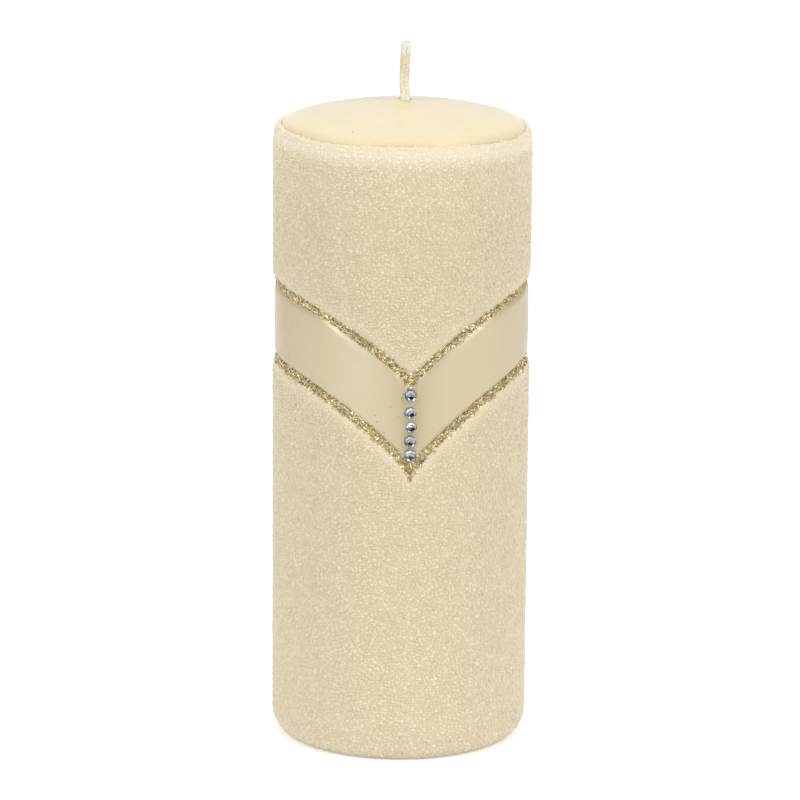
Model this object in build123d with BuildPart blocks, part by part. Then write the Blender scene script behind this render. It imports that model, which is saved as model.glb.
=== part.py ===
from build123d import *

import math
import os

# Unity candle: a domed wax pillar with a granule coat, a pearl chevron band edged with
# glitter, and a row of five flat-back stones on the fold of the chevron.
# Millimetres, +Z up, origin at the centre of the foot, the chevron points down on the -Y side.

os.makedirs("parts", exist_ok=True)

# Wax pillar
PILLAR_RADIUS = 34.6
PILLAR_TOP = 180.5
DOME_RADIUS = 100.0
SHOULDER_RADIUS = 7.0
FOOT_RADIUS = 6.2
COLLAR_RADIUS = 3.6
COLLAR_TOP_RADIUS = 1.95
COLLAR_RISE = 1.5
COLLAR_HOLLOW = 0.28

# Wick: a square braid that stands straight in the wax, a little off the pillar's axis
# towards +X, and leans slightly above the dome
WICK_WIDTH = 2.7
WICK_CORNER = 0.8
WICK_OFFSET = 0.5
WICK_STRAIGHT_TOP = 183.0
WICK_TIP = 197.2
WICK_LEAN_ANGLE = 4.0

# Wick clip in the foot
CLIP_RADIUS = 9.0
CLIP_SHEET = 0.4
CLIP_NECK_RADIUS = 2.5
CLIP_NECK_TOP = 7.0
CLIP_CRIMP_RADIUS = 2.25
CLIP_CRIMP_LOW = 2.8
CLIP_CRIMP_HIGH = 5.0

# Granule coat
COAT_THICKNESS = 1.55
COAT_FOOT = 0.3
COAT_EDGE_ANGLE = 39.5
COAT_EDGE_ROUND = 1.0

# Chevron band and the two seams that edge it. Each seam drops from the sides of the
# pillar to a tip at the front, and bows up by "bow" on the way.
BAND_THICKNESS = 0.9
UPPER_SEAM = {"tip": 108.8, "side": 131.5, "bow": 2.8}
LOWER_SEAM = {"tip": 84.0, "side": 109.5, "bow": 3.0}
SEAM_TIP_SLOPE = 42.0
GLITTER_HALF_WIDTH = 1.1
GLITTER_THICKNESS = 0.4

# Flat-back stones, listed from the top of the row to the bottom
STONE_HEIGHTS = [105.2, 100.3, 96.2, 92.3, 88.4]
STONE_RADIUS = 1.7
STONE_GIRDLE = 0.3
STONE_RISE = 1.5
STONE_SIDES = 8
STONE_MAIN_TAPER = 37.0
STONE_BREAK_TAPER = 28.0
FOIL_THICKNESS = 0.1
FOIL_RADIUS = 1.66
ADHESIVE_RADIUS = 1.5
ADHESIVE_THICKNESS = 0.15

# Derived places
DOME_Z = PILLAR_TOP - DOME_RADIUS
SHOULDER_X = PILLAR_RADIUS - SHOULDER_RADIUS
SHOULDER_Z = DOME_Z + math.sqrt((DOME_RADIUS - SHOULDER_RADIUS) ** 2 - SHOULDER_X**2)
DOME_EDGE_ANGLE = math.degrees(math.atan2(SHOULDER_Z - DOME_Z, SHOULDER_X))
FOOT_X = PILLAR_RADIUS - FOOT_RADIUS
COAT_RADIUS = PILLAR_RADIUS + COAT_THICKNESS
BAND_RADIUS = PILLAR_RADIUS + BAND_THICKNESS
CUT_REACH = PILLAR_RADIUS + 10.0
WICK_AXIS = Axis((WICK_OFFSET, 0, 0), (0, 0, 1))


def polar(x, z, radius, angle):
    """The point at an angle (degrees, from +X towards +Z) on a circle in the XZ plane."""
    turn = math.radians(angle)
    return (x + radius * math.cos(turn), z + radius * math.sin(turn))


def height_on_dome(x):
    """Height of the dome at a distance x from the axis."""
    return DOME_Z + math.sqrt(DOME_RADIUS**2 - x**2)


def seam_heights(seam, shift):
    """Tip, middle and side heights of a seam moved up across its own run by shift."""
    tip = seam["tip"] + shift / math.cos(math.radians(SEAM_TIP_SLOPE))
    side = seam["side"] + shift
    middle = (tip + side) / 2 + seam["bow"]
    return tip, middle, side


def wick_section():
    """The wick's rounded square section at the foot."""
    with BuildSketch(Plane.XY) as section:
        with Locations((WICK_OFFSET, 0)):
            RectangleRounded(WICK_WIDTH, WICK_WIDTH, WICK_CORNER)
    return section.sketch


def chevron_slice(low, high, side):
    """Everything between two seam outlines on one side of the pillar.

    The front half follows the chevron, the back half is level.
    """
    middle_x = side * PILLAR_RADIUS / 2
    edge_x = side * PILLAR_RADIUS
    reach_x = side * CUT_REACH
    with BuildPart() as cut:
        with BuildSketch(Plane.XZ):
            with BuildLine():
                ThreePointArc((0, low[0]), (middle_x, low[1]), (edge_x, low[2]))
                Polyline((edge_x, low[2]), (reach_x, low[2]), (reach_x, high[2]), (edge_x, high[2]))
                ThreePointArc((edge_x, high[2]), (middle_x, high[1]), (0, high[0]))
                Line((0, high[0]), (0, low[0]))
            make_face()
        extrude(amount=CUT_REACH)
        with BuildSketch(Plane.XZ):
            with Locations((reach_x / 2, (low[2] + high[2]) / 2)):
                Rectangle(CUT_REACH, high[2] - low[2])
        extrude(amount=-CUT_REACH)
    return cut.part


def shell(radius):
    """A tube from the pillar's wall out to a radius, over the whole height of the seams."""
    with BuildPart() as tube:
        with BuildSketch(Plane.XY.offset(LOWER_SEAM["tip"] - 10)):
            Circle(radius)
            Circle(PILLAR_RADIUS, mode=Mode.SUBTRACT)
        extrude(amount=UPPER_SEAM["side"] - LOWER_SEAM["tip"] + 20)
    return tube.part


def finish(piece, name):
    """Label a finished piece and write it out."""
    piece.part.label = name
    export_step(piece.part, f"parts/{name}.step")


# Wick clip: a flat disc with a crimped neck
with BuildPart() as clip_outline:
    with BuildSketch(Plane.XZ):
        with BuildLine():
            Polyline(
                (WICK_OFFSET, 0),
                (WICK_OFFSET + CLIP_RADIUS, 0),
                (WICK_OFFSET + CLIP_RADIUS, CLIP_SHEET),
                (WICK_OFFSET + CLIP_NECK_RADIUS, CLIP_SHEET),
                (WICK_OFFSET + CLIP_NECK_RADIUS, CLIP_CRIMP_LOW),
                (WICK_OFFSET + CLIP_CRIMP_RADIUS, (CLIP_CRIMP_LOW + CLIP_CRIMP_HIGH) / 2),
                (WICK_OFFSET + CLIP_NECK_RADIUS, CLIP_CRIMP_HIGH),
                (WICK_OFFSET + CLIP_NECK_RADIUS, CLIP_NECK_TOP),
                (WICK_OFFSET, CLIP_NECK_TOP),
                close=True,
            )
        make_face()
    revolve(axis=WICK_AXIS)

with BuildPart() as wick_sustainer:
    add(clip_outline.part)
    extrude(wick_section(), amount=CLIP_NECK_TOP, mode=Mode.SUBTRACT)
finish(wick_sustainer, "wick_sustainer")

# Wick: one sweep, straight in the wax, then a gentle arc to the tip
with BuildPart() as wick:
    with BuildLine(Plane.XZ) as wick_path:
        Line((WICK_OFFSET, 0), (WICK_OFFSET, WICK_STRAIGHT_TOP))
        JernArc(
            start=(WICK_OFFSET, WICK_STRAIGHT_TOP),
            tangent=(0, 1),
            radius=(WICK_TIP - WICK_STRAIGHT_TOP) / math.sin(math.radians(WICK_LEAN_ANGLE)),
            arc_size=-WICK_LEAN_ANGLE,
        )
    sweep(wick_section(), path=wick_path.wires()[0])
finish(wick, "wick")

# Wax core: foot round, wall, shoulder, dome and the melted collar round the wick
with BuildPart() as wax_core:
    with BuildSketch(Plane.XZ):
        with BuildLine():
            Line((0, 0), (FOOT_X, 0))
            CenterArc((FOOT_X, FOOT_RADIUS), FOOT_RADIUS, -90, 90)
            Line((PILLAR_RADIUS, FOOT_RADIUS), (PILLAR_RADIUS, SHOULDER_Z))
            CenterArc((SHOULDER_X, SHOULDER_Z), SHOULDER_RADIUS, 0, DOME_EDGE_ANGLE)
            dome_edge = polar(0, DOME_Z, DOME_RADIUS, DOME_EDGE_ANGLE)
            dome_middle = (dome_edge[0] / 2, height_on_dome(dome_edge[0] / 2))
            ThreePointArc(dome_edge, dome_middle, (0, PILLAR_TOP))
            Line((0, PILLAR_TOP), (0, 0))
        make_face()
    revolve(axis=Axis.Z)
    with BuildSketch(Plane.XZ):
        collar_edge = (WICK_OFFSET + COLLAR_RADIUS, height_on_dome(COLLAR_RADIUS))
        collar_top = (WICK_OFFSET + COLLAR_TOP_RADIUS, PILLAR_TOP + COLLAR_RISE)
        collar_hollow = (
            collar_top[0] + COLLAR_HOLLOW * (collar_edge[0] - collar_top[0]),
            collar_edge[1] + COLLAR_HOLLOW * (collar_top[1] - collar_edge[1]),
        )
        with BuildLine():
            ThreePointArc(collar_edge, collar_hollow, collar_top)
            Polyline(
                collar_top,
                (WICK_OFFSET, collar_top[1]),
                (WICK_OFFSET, PILLAR_TOP - COLLAR_RISE),
                (collar_edge[0], PILLAR_TOP - COLLAR_RISE),
                collar_edge,
            )
        make_face()
    revolve(axis=WICK_AXIS)
    add(clip_outline.part, mode=Mode.SUBTRACT)
    extrude(wick_section(), amount=WICK_TIP, mode=Mode.SUBTRACT)
finish(wax_core, "wax_core")

# Granule coat over the whole pillar, from the foot round to partway over the shoulder
with BuildPart() as coat:
    with BuildSketch(Plane.XZ) as coat_section:
        foot_drop = FOOT_RADIUS - COAT_FOOT
        foot_inner = (FOOT_X + math.sqrt(FOOT_RADIUS**2 - foot_drop**2), COAT_FOOT)
        foot_outer_radius = FOOT_RADIUS + COAT_THICKNESS
        foot_outer = (FOOT_X + math.sqrt(foot_outer_radius**2 - foot_drop**2), COAT_FOOT)
        edge_inner = polar(SHOULDER_X, SHOULDER_Z, SHOULDER_RADIUS, COAT_EDGE_ANGLE)
        edge_outer = polar(SHOULDER_X, SHOULDER_Z, SHOULDER_RADIUS + COAT_THICKNESS, COAT_EDGE_ANGLE)
        with BuildLine():
            ThreePointArc(
                foot_inner,
                polar(FOOT_X, FOOT_RADIUS, FOOT_RADIUS, -30),
                (PILLAR_RADIUS, FOOT_RADIUS),
            )
            Line((PILLAR_RADIUS, FOOT_RADIUS), (PILLAR_RADIUS, SHOULDER_Z))
            CenterArc((SHOULDER_X, SHOULDER_Z), SHOULDER_RADIUS, 0, COAT_EDGE_ANGLE)
            Line(edge_inner, edge_outer)
            CenterArc((SHOULDER_X, SHOULDER_Z), SHOULDER_RADIUS + COAT_THICKNESS, 0, COAT_EDGE_ANGLE)
            Line((COAT_RADIUS, SHOULDER_Z), (COAT_RADIUS, FOOT_RADIUS))
            ThreePointArc(
                (COAT_RADIUS, FOOT_RADIUS),
                polar(FOOT_X, FOOT_RADIUS, foot_outer_radius, -24),
                foot_outer,
            )
            Line(foot_outer, foot_inner)
        make_face()
        fillet(coat_section.vertices().sort_by(Axis.Y)[-1], COAT_EDGE_ROUND)
    revolve(axis=Axis.Z)

# The band and its two glitter beads part the coat into an upper and a lower sleeve
above_band = seam_heights(UPPER_SEAM, GLITTER_HALF_WIDTH)
below_band = seam_heights(LOWER_SEAM, -GLITTER_HALF_WIDTH)
with BuildPart() as coat_sleeves:
    add(coat.part)
    for side in (-1, 1):
        add(chevron_slice(below_band, above_band, side), mode=Mode.SUBTRACT)

for name, index in (("granule_coat_lower", 0), ("granule_coat_upper", -1)):
    with BuildPart() as sleeve:
        add(coat_sleeves.solids().sort_by(Axis.Z)[index])
    finish(sleeve, name)

# Chevron band: two strips, mitred at the front and butted at the back
with BuildPart() as left_strip:
    add(shell(BAND_RADIUS))
    band_low = seam_heights(LOWER_SEAM, GLITTER_HALF_WIDTH)
    band_high = seam_heights(UPPER_SEAM, -GLITTER_HALF_WIDTH)
    add(chevron_slice(band_low, band_high, -1), mode=Mode.INTERSECT)
finish(left_strip, "chevron_band_left")

with BuildPart() as right_strip:
    mirror(left_strip.part, about=Plane.YZ)
finish(right_strip, "chevron_band_right")

# Glitter beads: each seam is drawn in two runs that meet at the tip and at the back
for level, seam in (("upper", UPPER_SEAM), ("lower", LOWER_SEAM)):
    bead_low = seam_heights(seam, -GLITTER_HALF_WIDTH)
    bead_high = seam_heights(seam, GLITTER_HALF_WIDTH)
    with BuildPart() as left_bead:
        add(shell(PILLAR_RADIUS + GLITTER_THICKNESS))
        add(chevron_slice(bead_low, bead_high, -1), mode=Mode.INTERSECT)
    finish(left_bead, f"glitter_line_{level}_left")

    with BuildPart() as right_bead:
        mirror(left_bead.part, about=Plane.YZ)
    finish(right_bead, f"glitter_line_{level}_right")

# Stones: adhesive dot on the band, foil disc, then the faceted glass
FOIL_Y = BAND_RADIUS + ADHESIVE_THICKNESS
GLASS_Y = FOIL_Y + FOIL_THICKNESS
for number, height in enumerate(STONE_HEIGHTS, start=1):
    with BuildPart() as adhesive:
        with BuildSketch(Plane.XZ.offset(PILLAR_RADIUS)):
            with Locations((0, height)):
                Circle(ADHESIVE_RADIUS)
        extrude(amount=FOIL_Y - PILLAR_RADIUS)
        with BuildSketch(Plane.XY.offset(height - 2 * STONE_RADIUS)):
            Circle(BAND_RADIUS)
        extrude(amount=4 * STONE_RADIUS, mode=Mode.SUBTRACT)
    finish(adhesive, f"stone_adhesive_{number}")

    with BuildPart() as foil:
        with BuildSketch(Plane.XZ.offset(FOIL_Y)):
            with Locations((0, height)):
                Circle(FOIL_RADIUS)
        extrude(amount=FOIL_THICKNESS)
    finish(foil, f"rhinestone_foil_{number}")

    with BuildPart() as glass:
        with BuildSketch(Plane.XZ.offset(GLASS_Y)):
            with Locations((0, height)):
                Circle(STONE_RADIUS)
        extrude(amount=STONE_RISE)
        for turn, taper in ((0, STONE_MAIN_TAPER), (180 / STONE_SIDES, STONE_BREAK_TAPER)):
            back_radius = STONE_RADIUS + STONE_GIRDLE * math.tan(math.radians(taper))
            with BuildSketch(Plane.XZ.offset(GLASS_Y)):
                with Locations((0, height)):
                    RegularPolygon(back_radius, STONE_SIDES, major_radius=False, rotation=turn)
            extrude(amount=STONE_RISE, taper=taper, mode=Mode.INTERSECT)
    finish(glass, f"rhinestone_{number}")
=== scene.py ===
import math

import bpy
import numpy as np
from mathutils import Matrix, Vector

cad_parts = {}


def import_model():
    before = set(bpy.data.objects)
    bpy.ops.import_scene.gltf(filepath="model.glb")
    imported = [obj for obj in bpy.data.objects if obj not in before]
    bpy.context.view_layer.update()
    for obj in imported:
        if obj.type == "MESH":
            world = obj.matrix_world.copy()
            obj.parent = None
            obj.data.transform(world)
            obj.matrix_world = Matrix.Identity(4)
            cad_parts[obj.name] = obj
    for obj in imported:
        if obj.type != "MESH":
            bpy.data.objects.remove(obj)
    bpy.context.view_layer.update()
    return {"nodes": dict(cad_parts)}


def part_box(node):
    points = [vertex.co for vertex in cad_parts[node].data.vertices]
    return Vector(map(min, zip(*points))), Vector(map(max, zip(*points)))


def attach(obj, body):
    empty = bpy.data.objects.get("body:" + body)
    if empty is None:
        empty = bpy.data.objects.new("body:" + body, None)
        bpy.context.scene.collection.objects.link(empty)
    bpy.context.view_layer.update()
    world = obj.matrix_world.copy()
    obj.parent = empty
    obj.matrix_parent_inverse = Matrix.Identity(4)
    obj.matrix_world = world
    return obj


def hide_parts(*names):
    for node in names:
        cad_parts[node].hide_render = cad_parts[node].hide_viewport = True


# Looks of the unity candle: smooth domed wax, a coat of wax granules, a pearl chevron band
# with gold glitter along both edges, five cut stones and a braided cotton wick.
# Lengths are in millimetres, angles round the pillar are in radians from the front (-Y)
# towards +X, and a mesh is turned into metres when it is made.

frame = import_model()
MM = 0.001
TAU = 2 * math.pi
rng = np.random.default_rng(20)


def box_mm(node):
    """Lowest and highest corner of a CAD node, in millimetres."""
    low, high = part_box(node)
    return np.array(low) / MM, np.array(high) / MM


# ---- sizes, as in the CAD model
CORE_HIGH = box_mm("wax_core")[1]
PILLAR_RADIUS = CORE_HIGH[0]
COLLAR_RISE = 1.5
DOME_TOP = CORE_HIGH[2] - COLLAR_RISE
DOME_RADIUS = 100.0
SHOULDER_RADIUS = 7.0
FOOT_RADIUS = 6.2
DOME_Z = DOME_TOP - DOME_RADIUS
SHOULDER_X = PILLAR_RADIUS - SHOULDER_RADIUS
SHOULDER_Z = DOME_Z + math.sqrt((DOME_RADIUS - SHOULDER_RADIUS) ** 2 - SHOULDER_X**2)
DOME_EDGE = math.atan2(SHOULDER_Z - DOME_Z, SHOULDER_X)
FOOT_X = PILLAR_RADIUS - FOOT_RADIUS

COAT_RADIUS = box_mm("granule_coat_lower")[1][0]
COAT_THICKNESS = COAT_RADIUS - PILLAR_RADIUS
COAT_EDGE = math.radians(39.5)
COAT_FOOT = 0.3
BAND_RADIUS = box_mm("chevron_band_right")[1][0]
BAND_THICKNESS = BAND_RADIUS - PILLAR_RADIUS

GLITTER_HALF_WIDTH = 1.1
SEAM_TIP_SLOPE = math.radians(42.0)
TIP_SHIFT = GLITTER_HALF_WIDTH / math.cos(SEAM_TIP_SLOPE)


def read_seam(level, bow):
    """A seam's tip and side heights, from the box of its glitter bead."""
    low, high = box_mm(f"glitter_line_{level}_left")
    return {"tip": low[2] + TIP_SHIFT, "side": high[2] - GLITTER_HALF_WIDTH, "bow": bow}


UPPER_SEAM = read_seam("upper", 2.8)
LOWER_SEAM = read_seam("lower", 3.0)
# How far a seam was laid above its drawn line at some angles, from the back round the left,
# the front and the right to the back again.
DRIFT_ANGLES = [-math.pi, -math.pi / 2, -0.6, 0, 0.6, math.pi / 2, math.pi]
UPPER_SEAM["drift"] = [-0.8, -1.20, -0.60, 0, 0.25, -0.35, -0.8]
LOWER_SEAM["drift"] = [-0.8, -1.10, -0.15, 0, 0.20, -0.40, -0.8]

WICK_LOW, WICK_HIGH = box_mm("wick")
WICK_WIDTH = WICK_HIGH[1] - WICK_LOW[1]
WICK_X = WICK_LOW[0] + WICK_WIDTH / 2
WICK_STRAIGHT_TOP = 183.0
WICK_LEAN = math.radians(4.0)
WICK_TIP = WICK_HIGH[2] - 0.1
STONE_NODES = [f"rhinestone_{i}" for i in range(1, 6)]
WICK_SHIFT = 0.25
WICK_FOOT_GIRTH = 0.9
WICK_PALE_TOP, WICK_PALE_FOOT = 189.0, 182.5


# ---- the seams of the chevron
def arc_height(x, tip, middle, side):
    """Height at x of the arc through (0, tip), (R/2, middle) and (R, side); level beyond R."""
    half, full = PILLAR_RADIUS / 2, PILLAR_RADIUS
    a, b, c = tip**2, half**2 + middle**2, full**2 + side**2
    d = 2 * (half * (side - tip) + full * (tip - middle))
    centre_x = (a * (middle - side) + b * (side - tip) + c * (tip - middle)) / d
    centre_z = (a * (full - half) - b * full + c * half) / d
    radius = math.hypot(centre_x, centre_z - tip)
    inside = np.minimum(np.abs(x), PILLAR_RADIUS)
    return centre_z + np.sqrt(radius**2 - (inside - centre_x) ** 2)


def wrap(angle):
    """An angle brought between minus and plus half a turn."""
    return (angle + math.pi) % TAU - math.pi


def seam_height(seam, angle, shift=0.0):
    """Height of a seam, moved across its run by shift, at an angle round the pillar."""
    angle = np.asarray(angle, float)
    tip = seam["tip"] + shift / math.cos(SEAM_TIP_SLOPE)
    side = seam["side"] + shift
    middle = (tip + side) / 2 + seam["bow"]
    x = np.where(np.cos(angle) > 0, PILLAR_RADIUS * np.sin(angle), PILLAR_RADIUS)
    drift = np.interp(wrap(angle), DRIFT_ANGLES, seam["drift"])
    return arc_height(x, tip, middle, side) + drift


def seam_slope(seam, angle):
    """Rise of a seam per millimetre away from the front, round either side."""
    step = 0.002
    angle = np.asarray(angle, float)
    away = np.where(angle < 0, -1.0, 1.0)
    near, far = away * np.maximum(np.abs(angle) - step, 0), angle + away * step
    rise = seam_height(seam, far) - seam_height(seam, near)
    return rise / (np.abs(far - near) * PILLAR_RADIUS)


def seam_grade(seam, angle):
    """Length along a seam per millimetre round the pillar."""
    return np.sqrt(1 + seam_slope(seam, angle) ** 2)


def round_pillar(angle, lift, height):
    """Points at an angle round the pillar, a lift off its bare wall and a height."""
    radius = PILLAR_RADIUS + lift
    return np.stack([radius * np.sin(angle), -radius * np.cos(angle), height], -1)


# ---- mesh helpers
def enclosed_volume(points, faces):
    """Volume inside a closed set of faces, negative when they are wound to face inwards."""
    total = 0.0
    for group in faces:
        for k in range(1, group.shape[1] - 1):
            a, b, c = points[group[:, 0]], points[group[:, k]], points[group[:, k + 1]]
            total += np.einsum("ij,ij->", a, np.cross(b, c))
    return total / 6


def make_object(name, points, faces, smooth=True):
    """A mesh object from points in millimetres and a list of face arrays of equal corners."""
    points, faces = np.asarray(points, float), [np.asarray(f) for f in faces]
    if enclosed_volume(points, faces) < 0:
        faces = [f[:, ::-1] for f in faces]
    mesh = bpy.data.meshes.new(name)
    mesh.vertices.add(len(points))
    mesh.vertices.foreach_set("co", (points.astype(np.float32) * MM).ravel())
    corners = np.concatenate([f.ravel() for f in faces]).astype(np.int32)
    sizes = np.concatenate([np.full(len(f), f.shape[1]) for f in faces])
    starts = (np.cumsum(sizes) - sizes).astype(np.int32)
    mesh.loops.add(len(corners))
    mesh.loops.foreach_set("vertex_index", corners)
    mesh.polygons.add(len(sizes))
    mesh.polygons.foreach_set("loop_start", starts)
    mesh.update(calc_edges=True)
    mesh.validate()
    mesh.shade_smooth() if smooth else mesh.shade_flat()
    obj = bpy.data.objects.new(name, mesh)
    bpy.context.scene.collection.objects.link(obj)
    return obj


def grid_faces(rows, columns, wrap_rows=False, wrap_columns=False, first=0):
    """Quads over a grid of rows by columns points, numbered along each row."""
    row = np.arange(rows if wrap_rows else rows - 1)[:, None]
    here, there = row * columns, (row + 1) % rows * columns
    c = np.arange(columns if wrap_columns else columns - 1)
    after = (c + 1) % columns
    quads = np.stack([here + c, here + after, there + after, there + c], -1)
    return quads.reshape(-1, 4) + first


def closed_strip(name, outer, inner):
    """A strip round the pillar from its outer rows of points and its inner rows, last row first."""
    half, count = outer.shape[:2]
    row = np.arange(half - 1)[:, None]
    cap = np.concatenate([row, row + 1, 2 * half - 2 - row, 2 * half - 1 - row], 1)
    sides = grid_faces(2 * half, count, wrap_rows=True)
    faces = np.concatenate([sides, cap * count, cap[:, ::-1] * count + count - 1])
    return make_object(name, np.concatenate([outer, inner]).reshape(-1, 3), [faces])


def circle(count, radius=1.0, height=0.0, turn=0.0):
    """Evenly spaced points on a level circle."""
    turns = np.arange(count) * TAU / count + turn
    return np.stack([radius * np.cos(turns), radius * np.sin(turns), 0 * turns + height], -1)


def fan(centre, ring, flip=False):
    """Triangles from a centre point to a closed ring of points."""
    pair = [np.roll(ring, -1), ring] if flip else [ring, np.roll(ring, -1)]
    return np.stack([np.full(len(ring), centre), *pair], -1)


def tube_faces(steps, count, first=0):
    """Faces of a tube of rings with a fan over each end, whose centres follow the rings."""
    foot, ring = first + steps * count, np.arange(count)
    wall = grid_faces(steps, count, wrap_columns=True, first=first)
    return [wall, fan(foot, first + ring, flip=True), fan(foot + 1, foot - count + ring)]


def add_tone(obj, values):
    """Store a number per point that the materials turn into small differences of colour."""
    tone = obj.data.attributes.new("tone", "FLOAT", "POINT")
    tone.data.foreach_set("value", np.asarray(values, np.float32))


def many_copies(shape, shape_faces, turns, scales, centres):
    """Points and faces of many copies of a small shape, each scaled, turned and placed."""
    points = np.einsum("nij,nkj->nki", turns, shape[None] * scales[:, None]) + centres[:, None]
    faces = shape_faces[None] + len(shape) * np.arange(len(centres))[:, None, None]
    return points.reshape(-1, 3), [faces.reshape(-1, 3)]


def cell_uv(obj, copies, local_uv):
    """Give each of many equal small shapes its own square of the bake's map."""
    side = math.ceil(math.sqrt(copies))
    cell = np.arange(copies)
    corner = np.stack([cell % side, cell // side], -1)[:, None]
    uv = ((corner + 0.15 + 0.7 * local_uv) / side).reshape(-1, 2)
    index = np.empty(len(obj.data.loops), np.int32)
    obj.data.loops.foreach_get("vertex_index", index)
    layer = obj.data.uv_layers.new(name="OFBake")
    layer.uv.foreach_set("vector", uv[index].astype(np.float32).ravel())


def finish_piece(obj, slot, material, *nodes):
    """Ride on the pillar, take a material, and stand for the named CAD nodes; slot is not used."""
    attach(obj, "root")
    if nodes:
        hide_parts(*nodes)
    obj.data.materials.clear()
    obj.data.materials.append(material)


def ripple(a, b, seed, scale):
    """Smooth repeatable noise, mostly from -1 to 1, as a sum of a few waves."""
    waves = np.random.default_rng(seed)
    total = 0.0
    for _ in range(9):
        direction = waves.uniform(0, TAU)
        pitch = waves.uniform(0.6, 1.7) / scale
        phase = waves.uniform(0, TAU)
        along = a * math.cos(direction) + b * math.sin(direction)
        total = total + np.sin(TAU * pitch * along + phase)
    return total / 4.5


def hump(value, middle, width):
    """A bell curve: 1 in the middle, falling off on both sides."""
    return np.exp(-(((value - middle) / width) ** 2))


# ---- materials
def plug(tree, socket, value):
    """Link an input to a socket, or set it to a number."""
    if isinstance(value, bpy.types.NodeSocket):
        tree.links.new(value, socket)
    else:
        socket.default_value = value


def fill(tree, node, **inputs):
    """Plug a node's inputs by name, with _ for a space, and return its outputs."""
    for name, value in inputs.items():
        plug(tree, node.inputs[name.replace("_", " ")], value)
    return node.outputs


def add_node(tree, kind, **inputs):
    """A new shader node, filled in; returns its outputs."""
    return fill(tree, tree.nodes.new("ShaderNode" + kind), **inputs)


def new_material(name, **settings):
    """A material and its Principled shader, with some of the shader's sockets set."""
    material = bpy.data.materials.new(name)
    material.use_nodes = True
    shader = material.node_tree.nodes["Principled BSDF"]
    fill(material.node_tree, shader, **settings)
    return material, shader


def colour_ramp(tree, source, stops):
    """A colour ramp fed by a socket. Stops are (position, (r, g, b))."""
    ramp = tree.nodes.new("ShaderNodeValToRGB")
    elements = ramp.color_ramp.elements
    elements[0].position, elements[1].position = stops[0][0], stops[-1][0]
    for position, _ in stops[1:-1]:
        elements.new(position)
    for element, (_, colour) in zip(elements, stops):
        element.color = (*colour, 1)
    return fill(tree, ramp, Fac=source)["Color"]


def object_noise(tree, scale, detail, stretch=(1, 1, 1)):
    """Noise over the object's own coordinates, in cycles per metre."""
    place = add_node(tree, "TexCoord")["Object"]
    spot = add_node(tree, "Mapping", Scale=stretch, Vector=place)["Vector"]
    return add_node(tree, "TexNoise", Scale=scale, Detail=detail, Vector=spot)["Fac"]


def axes(tree, kind):
    """The X, Y and Z of a kind of coordinates."""
    return add_node(tree, "SeparateXYZ", Vector=add_node(tree, "TexCoord")[kind])


def map_range(tree, source, low, high, to_low=0.0, to_high=1.0):
    """A number mapped from one range to another and held level beyond it."""
    limits = {"From_Min": low, "From_Max": high, "To_Min": to_low, "To_Max": to_high}
    return add_node(tree, "MapRange", Value=source, **limits)["Result"]


def math_node(tree, operation, first, second):
    """One step of arithmetic on a socket, with a number or another socket."""
    node = tree.nodes.new("ShaderNodeMath")
    node.operation = operation
    plug(tree, node.inputs[0], first)
    plug(tree, node.inputs[1], second)
    return node.outputs["Value"]


def surface(name, source, stops, pale=None, sheen=None, bump=None, **settings):
    """A material whose colour runs over stops of each point's tone, or of noise.

    pale adds a paler stretch between two heights, sheen is (noise, lowest, highest) roughness,
    and bump is (noise, strength, distance). A noise is (scale, detail, stretch).
    """
    material, shader = new_material(name, **settings)
    tree = material.node_tree
    if source == "tone":
        node = tree.nodes.new("ShaderNodeAttribute")
        node.attribute_name = "tone"
        value = node.outputs["Fac"]
    else:
        value = object_noise(tree, *source)
    if pale:
        top, foot = (height * MM for height in pale)
        share = map_range(tree, axes(tree, "Object")["Z"], top, foot)
        paleness = math_node(tree, "MULTIPLY", share, 0.45)
        value = math_node(tree, "ADD", math_node(tree, "MULTIPLY", value, 0.5), paleness)
    fill(tree, shader, Base_Color=colour_ramp(tree, value, stops))
    if sheen:
        gloss = map_range(tree, object_noise(tree, *sheen[0]), 0.3, 0.7, *sheen[1:])
        fill(tree, shader, Roughness=gloss)
    if bump:
        grain, strength, distance = object_noise(tree, *bump[0]), *bump[1:]
        relief = add_node(tree, "Bump", Height=grain, Strength=strength, Distance=distance)
        fill(tree, shader, Normal=relief["Normal"])
    return material


# Ivory candle wax: soft sheen, faint clouding, light that sinks in a little.
SMOOTH_WAX = surface(
    "ivory_wax", (60, 4), [(0.3, (0.655, 0.547, 0.352)), (0.7, (0.679, 0.570, 0.374))],
    sheen=((220, 3), 0.32, 0.44), bump=((420, 4), 0.12, 0.0004), Roughness=0.36, IOR=1.44,
    Subsurface_Weight=0.35, Subsurface_Scale=0.004, Subsurface_Radius=(1.0, 0.75, 0.4),
    Sheen_Weight=0.45, Sheen_Roughness=0.35,
)
# Small wax granules, each a slightly different ivory, and the wax that holds them; their tones also
# carry painted light by height and at the coat's edges.
GRANULE_WAX = surface(
    "granule_wax", "tone",
    [(0.0, (0.46, 0.385, 0.25)), (0.5, (0.654, 0.555, 0.380)),
     (0.8, (0.735, 0.65, 0.485)), (1.0, (0.80, 0.77, 0.67))],
    Roughness=0.45, IOR=1.44, Sheen_Weight=0.4,
)
GRANULE_BED = surface(
    "granule_bed_wax", "tone",
    [(0.0, (0.46, 0.385, 0.25)), (0.5, (0.62, 0.527, 0.358)),
     (0.8, (0.715, 0.635, 0.47)), (1.0, (0.78, 0.75, 0.65))],
    bump=((1300, 2), 0.5, 0.0003), Roughness=0.6, IOR=1.44, Sheen_Weight=0.3,
)
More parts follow.
